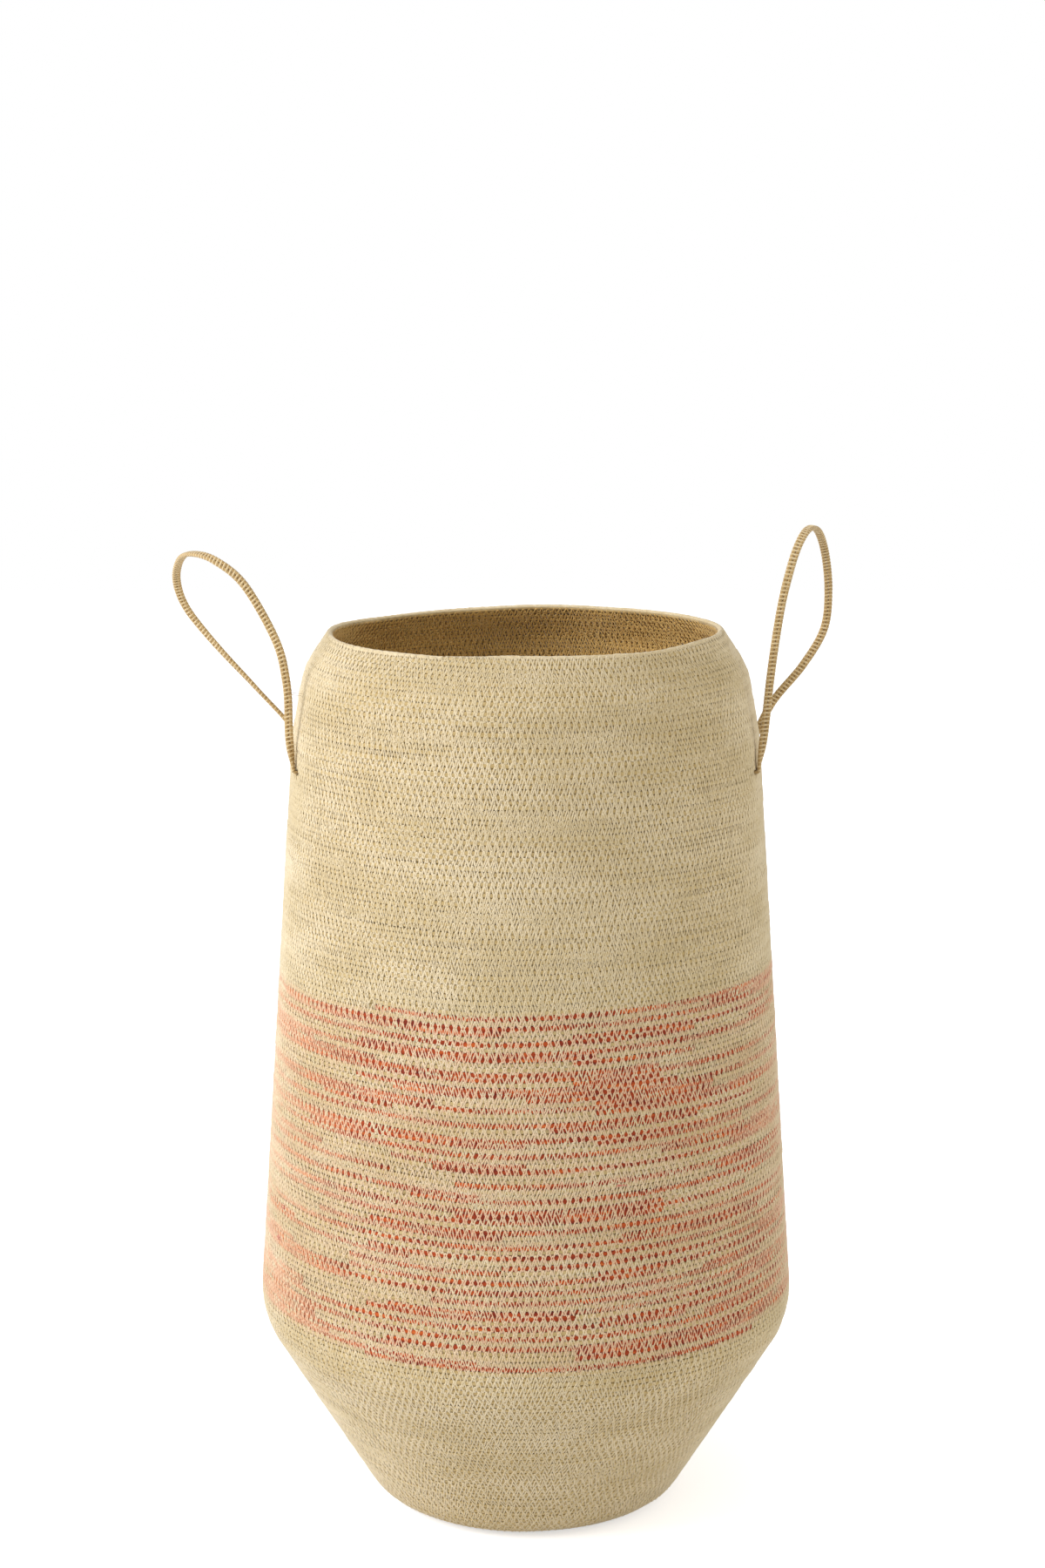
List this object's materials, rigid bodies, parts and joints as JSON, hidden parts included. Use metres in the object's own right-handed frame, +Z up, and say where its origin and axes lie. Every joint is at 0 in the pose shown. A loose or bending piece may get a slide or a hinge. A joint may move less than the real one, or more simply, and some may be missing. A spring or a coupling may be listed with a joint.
{
  "type": "belly basket",
  "caption": "Tall coiled seagrass basket with a swelling belly, narrow foot, dyed red band and two cord loop handles that fold down.",
  "frame": {"origin": "middle of the flat base, on the surface the basket stands on", "axes": "+Z up along the basket's axis; the pictured side faces -Y; the handles stand at -X and +X"},
  "size_m": [0.4975, 0.4035, 0.7462],
  "materials": {
    "natural_cord": "matte",
    "dyed_cord": "matte",
    "sewing_thread": "matte"
  },
  "bodies": {
    "basket": {"base_disc": "natural_cord", "foot_wall": "natural_cord", "band_wall": "natural_cord", "dyed_cord": "dyed_cord", "upper_wall": "natural_cord", "rim_coil": "natural_cord", "tail_left_front": "natural_cord", "tail_left_back": "natural_cord", "tail_right_front": "natural_cord", "tail_right_back": "natural_cord", "lashing_left_front": "sewing_thread", "lashing_left_back": "sewing_thread", "lashing_right_front": "sewing_thread", "lashing_right_back": "sewing_thread"},
    "left_loop": {"handle_left": "natural_cord"},
    "right_loop": {"handle_right": "natural_cord"}
  },
  "joints": [
    {"name": "left_loop_fold", "type": "hinge", "parent": "basket", "child": "left_loop", "pos_m": [-0.1718, 0, 0.568], "axis": [0, -1, 0], "range_deg": [-6, 132]},
    {"name": "right_loop_fold", "type": "hinge", "parent": "basket", "child": "right_loop", "pos_m": [0.1718, 0, 0.568], "axis": [0, 1, 0], "range_deg": [-6, 142]}
  ]
}
